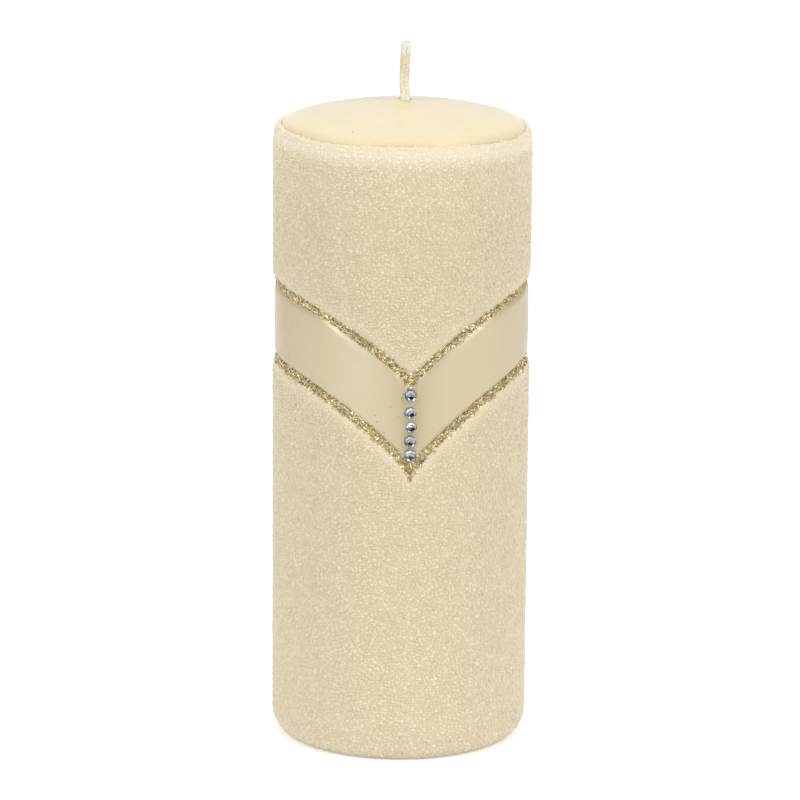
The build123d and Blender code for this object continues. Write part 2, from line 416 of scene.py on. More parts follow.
# Champagne pearl wax: satin, with fine pearl grain; its tones also carry the strip's painted shade
# and highlights.
PEARL_WAX = surface(
    "pearl_wax", "tone",
    [(0.0, (0.36, 0.26, 0.13)), (0.3, (0.50, 0.41, 0.26)),
     (0.5, (0.55, 0.46, 0.30)), (1.0, (0.70, 0.61, 0.48))],
    sheen=((260, 3), 0.30, 0.42), bump=((900, 5), 0.06, 0.0003),
    Roughness=0.34, IOR=1.46, Metallic=0.12, Coat_Weight=0.15, Coat_Roughness=0.22,
)
# Gold glitter, each flake in its own tone, and the brown-gold glue with dust in it.
GLITTER = surface(
    "gold_glitter", "tone",
    [(0.0, (0.22, 0.155, 0.07)), (0.3, (0.50, 0.385, 0.19)),
     (0.75, (0.88, 0.745, 0.45)), (1.0, (1.0, 0.96, 0.82))],
    Metallic=0.9, Roughness=0.28,
)
GLITTER_GLUE = surface(
    "glitter_glue", (1800, 2), [(0.35, (0.44, 0.32, 0.15)), (0.65, (0.66, 0.51, 0.28))],
    bump=((1800, 2), 0.9, 0.0004), Metallic=0.4, Roughness=0.42,
)
# Clear cut glass with polished facets, its mirror foil and the dried glue squeezed out under it.
STONE_GLASS = surface(
    "cut_glass", (500, 1), [(0.4, (0.72, 0.755, 0.755)), (0.6, (0.78, 0.81, 0.805))],
    Roughness=0.0, IOR=1.56, Transmission_Weight=1.0,
)
STONE_FOIL = surface(
    "silver_foil", (900, 3), [(0.3, (0.46, 0.49, 0.495)), (0.7, (0.56, 0.59, 0.595))],
    Metallic=1.0, Roughness=0.08,
)
ADHESIVE = surface(
    "clear_adhesive", (700, 3), [(0.3, (0.50, 0.48, 0.42)), (0.7, (0.60, 0.58, 0.50))],
    Roughness=0.12, IOR=1.48, Transmission_Weight=0.55,
)
# Braided cotton that has drunk wax, paler at its foot, and the dry cotton at its tip.
WAXED_COTTON = surface(
    "waxed_cotton", (2600, 3, (1, 1, 0.25)),
    [(0.1, (0.58, 0.49, 0.32)), (0.36, (0.76, 0.68, 0.50)), (0.75, (0.88, 0.81, 0.66))],
    pale=(WICK_PALE_TOP, WICK_PALE_FOOT), bump=((2600, 3, (1, 1, 0.25)), 0.4, 0.0002),
    Roughness=0.5, IOR=1.44, Subsurface_Weight=0.2, Subsurface_Scale=0.001,
)
RAW_COTTON = surface(
    "raw_cotton", (3200, 3, (1, 1, 0.25)),
    [(0.3, (0.60, 0.61, 0.53)), (0.7, (0.76, 0.77, 0.68))],
    bump=((3200, 3, (1, 1, 0.25)), 0.5, 0.0002), Roughness=0.85, Sheen_Weight=0.3,
)
# Tinned sheet steel of the wick clip.
CLIP_STEEL = surface(
    "tinned_steel", (900, 4, (1, 0.1, 1)),
    [(0.3, (0.48, 0.48, 0.46)), (0.7, (0.62, 0.62, 0.60))],
    sheen=((900, 4, (1, 0.1, 1)), 0.24, 0.38), Metallic=1.0, Roughness=0.3,
)


# ---- smooth wax core
BORE_RADIUS = 1.6
# How much fuller the hand-finished top stands than the drawn one, by distance from the axis.
LIFT_RADII = [8, 22, 31, 33.2, 35.0, 36.1]
LIFT_HEIGHTS = [0, 0.25, 0.60, 1.30, 1.35, 0.3]
LIFT_FULL_TILT = 0.35
# Drops of wax in front of the wick: rise, then place and half width along x and along y.
DOME_DROPS = [(0.50, -2.9, 1.0, -2.4, 1.0), (0.42, -1.2, 1.6, -5.6, 1.1)]


def core_profile():
    """The pillar's outline from the foot to the dome's top, as (radius, height) points."""
    points = [(radius, 0.0) for radius in np.linspace(BORE_RADIUS, FOOT_X, 8)]
    for turn in np.linspace(-math.pi / 2, 0, 10)[1:]:
        x = FOOT_X + FOOT_RADIUS * math.cos(turn)
        points.append((x, FOOT_RADIUS + FOOT_RADIUS * math.sin(turn)))
    for height in np.linspace(FOOT_RADIUS, SHOULDER_Z, 24)[1:]:
        points.append((PILLAR_RADIUS, height))
    for turn in np.linspace(0, DOME_EDGE, 16)[1:]:
        x = SHOULDER_X + SHOULDER_RADIUS * math.cos(turn)
        points.append((x, SHOULDER_Z + SHOULDER_RADIUS * math.sin(turn)))
    edge = points[-1][0]
    for share in np.linspace(1, 0, 90)[1:]:
        radius = BORE_RADIUS + (edge - BORE_RADIUS) * share**1.35
        points.append((radius, DOME_Z + math.sqrt(DOME_RADIUS**2 - radius**2)))
    return np.array(points)


def top_lift(radius, turn):
    """Height added to the top at a radius, fading out where the shoulder turns down to the wall."""
    return np.interp(radius, LIFT_RADII, LIFT_HEIGHTS) * np.clip(turn / LIFT_FULL_TILT, 0, 1)


def dome_relief(x, y):
    """Height added to the dome: the collar at the wick, wax that ran beside it, faint marks."""
    dx, dy = x - WICK_X, y
    reach = np.hypot(dx, dy)
    turn = np.arctan2(dy, dx)
    lumps = 1 + 0.35 * np.sin(2 * turn + 0.7) + 0.18 * np.sin(3 * turn - 1.0)
    open_front = 1 - 0.94 * hump(turn, -math.pi / 2, 1.1)
    slope = np.exp(-((reach - 1.3).clip(0) / 0.95) ** 1.3)
    collar = COLLAR_RISE * 0.75 * lumps * open_front * slope
    crescent = 0.42 * hump(reach, 3.3, 0.55) * hump(wrap(turn - 2.6), 0, 0.7)
    crease_line = dy - 0.74 * (dx + 7.5)
    crease = -0.30 * hump(crease_line, 0, 0.95) * hump(dx, -7.5, 3.4)
    drops = sum(rise * hump(dx, x, w) * hump(dy, y, d) for rise, x, w, y, d in DOME_DROPS)
    swell = 0.07 * ripple(x, y, 3, 24.0) * np.clip(reach / 8, 0, 1)
    dents = 0.025 * ripple(x, y, 4, 5.0)
    return collar + crescent + crease + drops + swell + dents


def build_wax_core():
    """The smooth pillar as one closed lathe with the wick's bore."""
    profile = core_profile()
    turns = np.linspace(0, TAU, 288, endpoint=False)
    radius, height = profile[:, :1], profile[:, 1:]
    inward = np.clip((PILLAR_RADIUS - radius) / (PILLAR_RADIUS - BORE_RADIUS), 0, 1)
    offset = WICK_X * inward
    x = offset + radius * np.cos(turns)[None]
    y = radius * np.sin(turns)[None]
    z = np.repeat(height, len(turns), 1)
    tilt = np.where(radius > SHOULDER_X, (height - SHOULDER_Z) / SHOULDER_RADIUS, 1.0)
    lifted = z + top_lift(radius, tilt) + dome_relief(x, y)
    z = np.where(height > SHOULDER_Z, lifted, z)
    points = np.stack([x, y, z], -1).reshape(-1, 3)
    faces = grid_faces(len(profile), len(turns), wrap_rows=True, wrap_columns=True)
    core = make_object("wax_pillar", points, [faces])
    finish_piece(core, "smooth_wax", SMOOTH_WAX, "wax_core")


build_wax_core()


# ---- granule coat
FOOT_ARC = FOOT_RADIUS + COAT_THICKNESS
FOOT_TURN = math.asin((FOOT_RADIUS - COAT_FOOT) / FOOT_ARC)
SHOULDER_ARC = SHOULDER_RADIUS + COAT_THICKNESS
RUN_FOOT = FOOT_ARC * FOOT_TURN
RUN_WALL = RUN_FOOT + SHOULDER_Z - FOOT_RADIUS
RUN_END = RUN_WALL + SHOULDER_ARC * COAT_EDGE
FOOT_EXTRA = 0.10
BED_DEPTH = 0.38
GRANULE_RADIUS = 0.47
GRANULE_PITCH = 0.92
ROW_PITCH = GRANULE_PITCH * 0.87
PROUD_SHARE = 0.22
MISSING_SHARE = 0.035
EDGE_THICKNESS = 0.14
SEAM_ROUND = 2.6
RIM_ROUND = 2.0
COAT_EDGE_REACH = 0.85
# How far down the shoulder the coat's rim stops short of its drawn edge, round the pillar.
RIM_ANGLES = [-180, -100, -60, -40, -20, 0, 20, 40, 60, 80, 100, 180]
RIM_DROPS = [1.0, 1.3, 2.1, 2.6, 2.3, 2.3, 2.5, 2.9, 3.1, 2.5, 1.5, 1.0]
# Painted light on the coat by height: paler near the foot where the floor's bounce light falls, a
# little darker on the way up, and paler again under its rim where the top light falls.
PAINTED_LIGHT_HEIGHTS = [0.0, 18.0, 43.0, 75.0, 130.0, 150.0, 160.0, 172.0]
PAINTED_LIGHT_BY_HEIGHT = [0.14, 0.10, 0.04, 0.0, -0.05, -0.06, 0.0, 0.05]


def coat_run(height):
    """Distance up the coat's outer face, from its foot edge, of a height on the wall."""
    return RUN_FOOT + height - FOOT_RADIUS


def rim_run(angle):
    """Distance up the coat's face at which its frayed rim ends."""
    degrees = np.degrees(wrap(angle))
    fray = 0.22 * ripple(np.asarray(angle) * PILLAR_RADIUS, 0 * angle, 41, 4.0)
    return RUN_END - np.interp(degrees, RIM_ANGLES, RIM_DROPS) + fray


def coat_point(angle, run, thickness):
    """Points on the coat, at a thickness over the bare pillar."""
    foot = np.clip((run - RUN_FOOT) / FOOT_ARC, -FOOT_TURN - FOOT_EXTRA, 0)
    shoulder = np.clip((run - RUN_WALL) / SHOULDER_ARC, 0, COAT_EDGE)
    turn = foot + shoulder
    low, high = foot < 0, shoulder > 0
    centre_r = np.where(low, FOOT_X, np.where(high, SHOULDER_X, PILLAR_RADIUS))
    wall_z = run - RUN_FOOT + FOOT_RADIUS
    centre_z = np.where(low, FOOT_RADIUS, np.where(high, SHOULDER_Z, wall_z))
    bare = np.where(low, FOOT_RADIUS, np.where(high, SHOULDER_RADIUS, 0.0))
    reach = bare + thickness
    radius = centre_r + reach * np.cos(turn)
    height = centre_z + reach * np.sin(turn) + np.where(high, top_lift(radius, turn), 0.0)
    return np.stack([radius * np.sin(angle), radius * -np.cos(angle), height], -1)


def rounded(distance, width):
    """0 at an edge, rising like a quarter round to 1 at width from it."""
    share = np.clip(1 - distance / width, 0, 1)
    return np.sqrt(1 - share**2)


def rolled(distance, width):
    """0 at an edge, rising like a pillow's side to 1 at width from it."""
    share = np.clip(distance / width, 0, 1)
    return np.sin(share * math.pi / 2) ** 0.9


def coat_seam(level):
    """The seam that a coat ends at, and 1 where the coat lies above it, -1 below."""
    return (UPPER_SEAM, 1) if level == "upper" else (LOWER_SEAM, -1)


def coat_thickness(angle, run, level):
    """The coat's thickness, rounded off towards its edges, and the distance from its edge."""
    seam, sign = coat_seam(level)
    edge = coat_run(seam_height(seam, angle, sign * COAT_EDGE_REACH))
    across = sign * (run - edge) / seam_grade(seam, angle)
    shape = rounded(across.clip(0), SEAM_ROUND)
    if level == "upper":
        to_rim = rim_run(angle) - run
        shape = np.minimum(shape, rounded(to_rim.clip(0), RIM_ROUND))
        across = np.minimum(across, to_rim)
    return EDGE_THICKNESS + (COAT_THICKNESS - EDGE_THICKNESS) * shape, across


def coat_painted_light(angle, run, across, level):
    """Painted light on the coat: a painted highlight just under the rim where the top light falls,
    a painted highlight on the lower coat's upturned edge beside the gold, and a paler foot that
    paints out the shade near the floor.
    """
    foot = 0.10 * hump(run, 2.5, 2.5)
    if level == "upper":
        return foot + 0.27 * hump(rim_run(angle) - run, 2.2, 2.2)
    return foot + 0.17 * hump(across, 0, 2.0)


def build_coat_bed(level):
    """The closed sleeve of wax under the granules."""
    angles = np.linspace(-math.pi, math.pi, 360, endpoint=False)[None, :]
    seam, sign = coat_seam(level)
    seam_run = coat_run(seam_height(seam, angles, sign * COAT_EDGE_REACH))
    near = np.array([0, 0.1, 0.3, 0.6, 1.0, 1.6, 2.4, 3.4, 5.0])[:, None]
    share = np.linspace(0, 1, 40)[:, None]
    if level == "upper":
        rim = rim_run(angles)
        body = seam_run + 6 + (rim - seam_run - 12) * share
        runs = np.concatenate([seam_run + near, body, rim - near[::-1]])
    else:
        body = 5.0 + (seam_run - 11) * share
        foot = np.linspace(-FOOT_EXTRA * FOOT_ARC, 4.5, 8)[:, None] + 0 * seam_run
        runs = np.concatenate([foot, body, seam_run - near[::-1]])
    angle = angles + 0 * runs
    thickness, across = coat_thickness(angle, runs, level)
    thickness = (thickness - BED_DEPTH * (0.4 + 0.6 * np.clip(across / 4, 0, 1))).clip(0.05)
    inner = coat_point(angle, runs, 0.0 * runs)[::-1]
    rows = np.concatenate([coat_point(angle, runs, thickness), inner])
    faces = grid_faces(len(rows), angles.size, wrap_rows=True, wrap_columns=True)
    bed = make_object(f"granule_bed_{level}", rows.reshape(-1, 3), [faces])
    # The bed's tone takes the painted light by height and at the coat's edges.
    shade = np.interp(runs, PAINTED_LIGHT_HEIGHTS, PAINTED_LIGHT_BY_HEIGHT)
    edge_painted_light = coat_painted_light(angle, runs, across.clip(0), level)
    tones = 0.40 + (shade + edge_painted_light) + 0.02 * ripple(angle * COAT_RADIUS, runs, 11, 18.0)
    add_tone(bed, np.clip(np.concatenate([tones, tones[::-1]]), 0.02, 0.98).ravel())
    finish_piece(bed, "wax_granules", GRANULE_BED, f"granule_coat_{level}")


def cut_ball(points, faces):
    """Each triangle of a ball cut in four, with the new points pushed out to radius 1."""
    points, finer, middle = [tuple(p) for p in points], [], {}

    def between(a, b):
        key = (min(a, b), max(a, b))
        if key not in middle:
            half = np.add(points[a], points[b])
            middle[key] = len(points)
            points.append(tuple(half / np.linalg.norm(half)))
        return middle[key]

    for a, b, c in faces:
        ab, bc, ca = between(a, b), between(b, c), between(c, a)
        finer += [(a, ab, ca), (b, bc, ab), (c, ca, bc), (ab, bc, ca)]
    return np.array(points, float), np.array(finer)


EIGHT_POINTS = [(1, 0, 0), (-1, 0, 0), (0, 1, 0), (0, -1, 0), (0, 0, 1), (0, 0, -1)]
EIGHT_FACES = [
    (4, 0, 2), (4, 2, 1), (4, 1, 3), (4, 3, 0), (5, 2, 0), (5, 1, 2), (5, 3, 1), (5, 0, 3)
]
BALL_POINTS, BALL_FACES = cut_ball(EIGHT_POINTS, EIGHT_FACES)
FINE_POINTS, FINE_FACES = cut_ball(BALL_POINTS, BALL_FACES)


def unit(rows):
    """Rows of numbers, each scaled to length 1."""
    return rows / np.linalg.norm(rows, axis=1, keepdims=True)


def random_turns(count):
    """Random rotations, as 3 by 3 matrices."""
    w, x, y, z = unit(rng.normal(size=(count, 4))).T
    return np.stack([
        np.stack([1 - 2 * (y * y + z * z), 2 * (x * y - z * w), 2 * (x * z + y * w)], -1),
        np.stack([2 * (x * y + z * w), 1 - 2 * (x * x + z * z), 2 * (y * z - x * w)], -1),
        np.stack([2 * (x * z - y * w), 2 * (y * z + x * w), 1 - 2 * (x * x + y * y)], -1),
    ], 1)


def scatter_balls(name, centres, radii, tones):
    """One mesh of many granules, each squashed and turned its own way."""
    count = len(centres)
    scales = radii[:, None] * rng.uniform(0.84, 1.14, (count, 3))
    turns = random_turns(count)
    obj = make_object(name, *many_copies(BALL_POINTS, BALL_FACES, turns, scales, centres))
    add_tone(obj, np.repeat(tones, len(BALL_POINTS)))
    cell_uv(obj, count, BALL_POINTS[:, :2] / 2 + 0.5)
    finish_piece(obj, "wax_granules", GRANULE_WAX)


def granule_places():
    """Angles and runs of a jittered, brick-like covering of the whole coat."""
    angles, runs = [], []
    for row, run in enumerate(np.arange(-0.25, RUN_END, ROW_PITCH)):
        front = coat_point(np.zeros(1), np.array([run]), COAT_THICKNESS - 0.4)[0]
        count = round(TAU * abs(front[1]) / GRANULE_PITCH)
        step = TAU / count
        even = (np.arange(count) + 0.5 * (row % 2)) * step - math.pi
        angles.append(even + rng.normal(0, 0.25, count) * step)
        runs.append(run + rng.normal(0, 0.22, count) * ROW_PITCH)
    return np.concatenate(angles), np.concatenate(runs)


def build_granules():
    """All the granules of both sleeves, in sectors round the pillar."""
    angle, run = granule_places()
    angle = wrap(angle)
    for level, sectors in (("upper", 4), ("lower", 8)):
        thickness, across = coat_thickness(angle, run, level)
        keep = (across > 0.12) & (rng.random(len(angle)) > MISSING_SHARE)
        a, r, t, across = angle[keep], run[keep], thickness[keep], across[keep]
        inland = np.clip(across / 2.8, 0, 1)
        count = len(a)
        proud = rng.random(count) < PROUD_SHARE
        radii = GRANULE_RADIUS * np.clip(rng.normal(1.0, 0.15, count), 0.6, 1.45)
        sink = np.where(proud, rng.uniform(-0.08, 0.0, count), rng.uniform(0.0, 0.17, count))
        sink *= 0.35 + 0.65 * inland
        centres = coat_point(a, r, (t - radii - sink).clip(0.2))
        centres[:, 2] = np.maximum(centres[:, 2], 1.14 * radii)
        patches = ripple(a * COAT_RADIUS, r, 11, 9.0)
        # Each granule's tone takes the painted light by height and at the coat's edges.
        shade = np.interp(r, PAINTED_LIGHT_HEIGHTS, PAINTED_LIGHT_BY_HEIGHT) + coat_painted_light(a, r, across, level)
        spots = (0.085 * rng.normal(size=count) + 0.07 * proud) * (0.5 + 0.5 * inland)
        tones = np.clip(0.48 + shade + spots + 0.03 * patches, 0.02, 0.98)
        sector = np.minimum(((a + math.pi) / TAU * sectors).astype(int), sectors - 1)
        for index in range(sectors):
            pick = sector == index
            name = f"granules_{level}_{index + 1}"
            scatter_balls(name, centres[pick], radii[pick], tones[pick])


for coat_level in ("upper", "lower"):
    build_coat_bed(coat_level)
build_granules()


# ---- pearl band
BAND_ROUND = 2.0
BAND_EDGE = 0.75 * GLITTER_HALF_WIDTH
BAND_EDGE_THICKNESS = 0.12
BUTT_GAP = 0.0012


def band_edges(side, angles):
    """Heights of the strip's lower and upper edge."""
    low = seam_height(LOWER_SEAM, side * angles, BAND_EDGE)
    return low, seam_height(UPPER_SEAM, side * angles, -BAND_EDGE)


def band_thickness(side, angles, heights):
    """The strip's thickness, and the distances to its lower and upper edges."""
    low, high = band_edges(side, angles)
    from_low = (heights - low) / seam_grade(LOWER_SEAM, side * angles)
    from_high = (high - heights) / seam_grade(UPPER_SEAM, side * angles)
    lift = rolled(np.minimum(from_low, from_high).clip(0), BAND_ROUND)
    pillow = 0.10 * np.sin(math.pi * np.clip((heights - low) / (high - low), 0, 1))
    waves = 0.035 * ripple(angles * BAND_RADIUS, heights, 31 + side, 16.0)
    crown = BAND_THICKNESS - 0.16 + pillow + waves * np.clip(angles / 0.2, 0, 1)
    return BAND_EDGE_THICKNESS + crown * lift, from_low, from_high


def band_tone(side, angles, heights, from_low, from_high):
    """Tone over the strip: painted shade with bounce from the gold along the lower edge, a painted
    highlight on the upper edge, painted shade at the front and on the far flanks, a painted
    highlight on the left arm and faint painted shade on the right, and random mottling.
    """
    along = angles * PILLAR_RADIUS
    rough = 1 + 0.3 * ripple(along, heights, 61 + side, 2.5)
    # Painted shade where the lower edge curves under, and a painted highlight on the rolled upper
    # edge.
    painted_edge_shade = -0.42 * hump(from_low, 0, 0.75 * rough)
    painted_edge_highlight = 0.32 * hump(from_high, 1.1, 0.6) * hump(angles, 0.54, 0.22)
    # Painted shade over the front and on the far flanks, and a painted highlight on the left arm.
    front = -0.10 * hump(along, 0, 9.0) * np.clip(from_high / 3, 0, 1)
    painted_flank_shade = -0.28 * np.clip((angles - 0.6) / 0.6, 0, 1)
    painted_arm_light = (0.07 if side < 0 else -0.03) * hump(angles, 0.42, 0.2)
    mottle = 0.02 * ripple(along, heights, 63 + side, 5.0)
    return np.clip(0.5 + painted_edge_shade + painted_edge_highlight + front + painted_flank_shade + painted_arm_light + mottle, 0.02, 0.98)


def build_band(hand, side):
    """One pearl strip, from the mitre at the front round to the butt joint at the back."""
    angles = np.linspace(0, math.pi - BUTT_GAP, 260)[None, :]
    low, high = band_edges(side, angles)
    near = BAND_ROUND * (1 - np.cos(np.linspace(0, math.pi / 2, 9)))[:, None]
    share = np.linspace(0, 1, 22)[1:-1, None]
    between = low + BAND_ROUND + (high - low - 2 * BAND_ROUND) * share
    heights = np.concatenate([low + near, between, high - near[::-1]])
    angle = angles + 0 * heights
    thickness, from_low, from_high = band_thickness(side, angle, heights)
    tones = band_tone(side, angle, heights, from_low, from_high)
    outer = round_pillar(side * angle, thickness, heights)
    inner = round_pillar(side * angle, 0.02 + 0 * heights, heights)[::-1]
    band = closed_strip(f"pearl_band_{hand}", outer, inner)
    add_tone(band, np.concatenate([tones, tones[::-1]]).ravel())
    finish_piece(band, "pearl_wax", PEARL_WAX, f"chevron_band_{hand}")


HANDS = (("left", -1), ("right", 1))
for band_hand, band_side in HANDS:
    build_band(band_hand, band_side)


# ---- gold glitter lines
BEAD_HEIGHT = 0.42
FLAKES_PER_MM = 58
STRAY_SHARE = 0.13
BIG_SHARE = 0.05
FLAKE_THICKNESS = 0.03
FLAKE_TUMBLE = 0.44
# Extra flakes where the two arms of a seam meet, and below the lower one.
POOL_FLAKES = 190
POOL_RISE = {"upper": 0.25, "lower": 0.35}
DRIP_FLAKES = 22


def seam_place(seam, side, angle, across, lift):
    """A point beside a seam: across is measured square to its run, lift outwards."""
    height = seam_height(seam, side * angle) + across * seam_grade(seam, side * angle)
    return round_pillar(side * angle, lift, height)


def line_width(angle, seed):
    """Half width of a glitter line drawn by hand, with a small pool at the tip of the V."""
    along = np.abs(angle) * PILLAR_RADIUS
    return 0.93 + 0.17 * ripple(along, 0 * along, seed, 5.5) + 0.2 * hump(along, 0, 2.0)


def bead_lift(angle, share, seed):
    """Height of the glue ridge over the pillar, with its lumps, at a share of its half width."""
    lumps = 0.10 * ripple(angle * PILLAR_RADIUS, share * 1.2, seed + 1, 1.3)
    inside = (1 - share**2).clip(0)
    return BEAD_HEIGHT * np.sqrt((1 - (0.97 * share) ** 2).clip(0)) + lumps * inside


def build_glitter_bead(name, node, seam, side, seed):
    """The low, lumpy ridge of glue that carries the flakes."""
    angle, share = np.meshgrid(np.linspace(0, math.pi, 420), np.linspace(-1, 1, 9))
    across = share * line_width(angle, seed)
    outer = seam_place(seam, side, angle, across, 0.03 + bead_lift(angle, share, seed))
    inner = seam_place(seam, side, angle, across, 0.01 + 0 * angle)[::-1]
    bead = closed_strip(name, outer, inner)
    finish_piece(bead, "gold_glitter", GLITTER_GLUE, node)


def flake_shape():
    """A thin six-sided plate, one unit across its half width and half a unit thick each way."""
    points = np.concatenate([circle(6, height=0.5), circle(6, height=-0.5)])
    top = [(0, 1, 2), (0, 2, 3), (0, 3, 4), (0, 4, 5)]
    under = [(6 + c, 6 + b, 6 + a) for a, b, c in top]
    sides = []
    for i in range(6):
        j = (i + 1) % 6
        sides += [(i, 6 + i, 6 + j), (i, 6 + j, j)]
    return points, np.array(top + under + sides)


FLAKE_POINTS, FLAKE_FACES = flake_shape()


def surface_lift(level, across):
    """Height over the pillar of the coat's or the strip's rounded edge, beside a seam."""
    to_coat = across if level == "upper" else -across
    beside_coat = (to_coat - COAT_EDGE_REACH).clip(0)
    beside_band = (-to_coat - BAND_EDGE).clip(0)
    coat = EDGE_THICKNESS + (COAT_THICKNESS - EDGE_THICKNESS) * rounded(beside_coat, SEAM_ROUND)
    rise = BAND_THICKNESS - BAND_EDGE_THICKNESS
    band = BAND_EDGE_THICKNESS + rise * rolled(beside_band, BAND_ROUND)
    return np.where(beside_coat > 0, coat, np.where(beside_band > 0, band, 0.0))


def scatter_flakes(name, centres, sizes, tones, tumble):
    """One mesh of thin flakes, each turned its own way about the pillar's outward direction."""
    count = len(centres)
    normal = unit(unit(centres * [1, 1, 0]) + rng.normal(0, tumble, (count, 3)))
    aside = unit(np.cross(normal, rng.normal(size=(count, 3))))
    turned = np.stack([aside, np.cross(normal, aside), normal], 2)
    scales = np.stack([sizes, sizes, np.full(count, FLAKE_THICKNESS)], -1)
    flakes = many_copies(FLAKE_POINTS, FLAKE_FACES, turned, scales, centres)
    obj = make_object(name, *flakes, smooth=False)
    add_tone(obj, np.repeat(tones, len(FLAKE_POINTS)))
    cell_uv(obj, count, FLAKE_POINTS[:, :2] / 2 + 0.5)
    finish_piece(obj, "gold_glitter", GLITTER)


def build_flakes(name, level, seam, side, seed):
    """Thousands of flakes along one arm of a seam, with strays and a pool at the tip."""
    spots = np.linspace(0, math.pi, 600)
    grade = seam_grade(seam, side * spots)
    steps = (grade[1:] + grade[:-1]) / 2 * np.diff(spots) * PILLAR_RADIUS
    length = np.concatenate([[0], np.cumsum(steps)])
    count = int(length[-1] * FLAKES_PER_MM)
    angle = np.interp(rng.uniform(0, length[-1], count), length, spots)
    coat_side = coat_seam(level)[1]
    away = np.where(rng.random(count) < 0.65, coat_side, -coat_side)
    away = away * (1 + 0.26 * np.abs(rng.normal(size=count)))
    share = np.where(rng.random(count) < STRAY_SHARE, away, rng.uniform(-1, 0.97, count))
    across = share * line_width(angle, seed)
    pool_x, pool_z = rng.normal(0, [[0.9], [0.62]], (2, POOL_FLAKES)).clip(-1.9, 1.9)
    pool_angle = np.abs(pool_x) / PILLAR_RADIUS
    pool_height = seam["tip"] + POOL_RISE[level] + pool_z
    if level == "lower":
        drip = np.arange(POOL_FLAKES) < DRIP_FLAKES
        pool_angle = np.where(drip, pool_angle * 0.3, pool_angle)
        run_down = seam["tip"] - rng.uniform(1.2, 3.1, POOL_FLAKES)
        pool_height = np.where(drip, run_down, pool_height)
    pool_across = pool_height - seam_height(seam, side * pool_angle)
    pool_across = pool_across / seam_grade(seam, side * pool_angle)
    angle = np.concatenate([angle, pool_angle])
    across = np.concatenate([across, pool_across])
    crown = bead_lift(angle, across / line_width(angle, seed), seed)
    total = len(angle)
    lift = np.maximum(crown, surface_lift(level, across)) + 0.07
    lift = lift + rng.uniform(-0.05, 0.10, total)
    big = rng.random(total) < BIG_SHARE
    sizes = np.where(big, rng.uniform(0.24, 0.36, total), rng.uniform(0.12, 0.23, total))
    centres = seam_place(seam, side, angle, across, lift)
    scatter_flakes(name, centres, sizes, rng.beta(1.8, 1.8, total), FLAKE_TUMBLE)


line_seed = 50
for line_level, line_seam in (("upper", UPPER_SEAM), ("lower", LOWER_SEAM)):
    for line_hand, line_side in HANDS:
        line = f"{line_level}_{line_hand}"
        glue_name, line_node = f"glitter_glue_{line}", f"glitter_line_{line}"
        build_glitter_bead(glue_name, line_node, line_seam, line_side, line_seed)
        build_flakes(f"glitter_flakes_{line}", line_level, line_seam, line_side, line_seed)
        line_seed += 5

# Stray flakes on the left strip, as (distance round from the front, height), and one on the dome.
STRAYS = [
    (2.1, 105.5), (2.5, 104.4), (9.9, 99.4), (9.4, 97.5), (3.4, 99.0), (5.6, 101.9), (7.3, 94.6)
]
DOME_SPECK = (-15.7, -26.0)


def build_strays():
    """The few dark flakes that lie away from the lines."""
    along, height = np.array(STRAYS).T
    turn = along / BAND_RADIUS
    places = round_pillar(-turn, band_thickness(-1, turn, height)[0] + 0.01, height)
    out = math.hypot(*DOME_SPECK) - SHOULDER_X
    speck_height = SHOULDER_Z + math.sqrt(SHOULDER_RADIUS**2 - out**2) + LIFT_HEIGHTS[2]
    places = np.concatenate([places, [[*DOME_SPECK, speck_height]]])
    count = len(places)
    scatter_flakes("glitter_strays", places, np.full(count, 0.17), np.full(count, 0.05), 0.05)


build_strays()


# ---- cut stones
STONE_TABLE = 0.5
STONE_STAR = 0.74
STONE_STAR_RISE = 0.68
STONE_GIRDLE = 0.28
STONE_DISH = 0.17
STONE_CUTS = 8
# Each stone's size beside its CAD node, its shift to the right, and its nod, swing and spin.
STONE_SIZES = [0.92, 0.91, 0.85, 0.93, 0.94]
STONE_SHIFTS = [-0.10, -0.06, 0.12, -0.16, -0.12]
STONE_TILTS = [
    (0.5, 1.5, 0.0), (-1.5, 4.0, 15.0), (-0.5, 4.0, 31.0), (0.0, -0.5, 9.0), (-4.0, 0.5, 22.0)
]
# The foil cup round a stone and the glue under it, as (share of its radius, height).
FOIL_SECTION = [(1.01, -0.01), (1.01, 0.27), (1.03, 0.27), (1.03, -0.03)]
GLUE_SECTION = [
    (0.55, -0.1), (0.98, -0.02), (1.02, 0.06), (1.045, -0.04), (1.07, -0.22), (1.07, -0.34),
    (0.55, -0.34),
]


def stone_frame(number):
    """Centre of a stone's flat back, and the axes across, up and out that it is turned to."""
    low, high = box_mm(STONE_NODES[number])
    middle = (low + high) / 2
    centre = np.array([middle[0] + STONE_SHIFTS[number], high[1], middle[2]])
    nod, swing, _ = (math.radians(a) for a in STONE_TILTS[number])
    out = np.array([math.sin(swing), -math.cos(swing) * math.cos(nod), math.sin(nod)])
    across = np.cross([0, 0, 1.0], -out)
    across /= np.linalg.norm(across)
    up = np.cross(out, across)
    return centre, across, -up if up[2] < 0 else up, out


def stone_rings(radius, rise, spin):
    """Rings of the cut: flat back, girdle, star points and table, as (across, up, out)."""
    star_rise = STONE_GIRDLE + (rise - STONE_GIRDLE) * STONE_STAR_RISE
    return (
        circle(2 * STONE_CUTS, radius, 0.0, spin),
        circle(2 * STONE_CUTS, radius, STONE_GIRDLE, spin),
        circle(STONE_CUTS, radius * STONE_STAR, star_rise, TAU / STONE_CUTS / 2 + spin),
        circle(STONE_CUTS, radius * STONE_TABLE, rise, spin),
    )


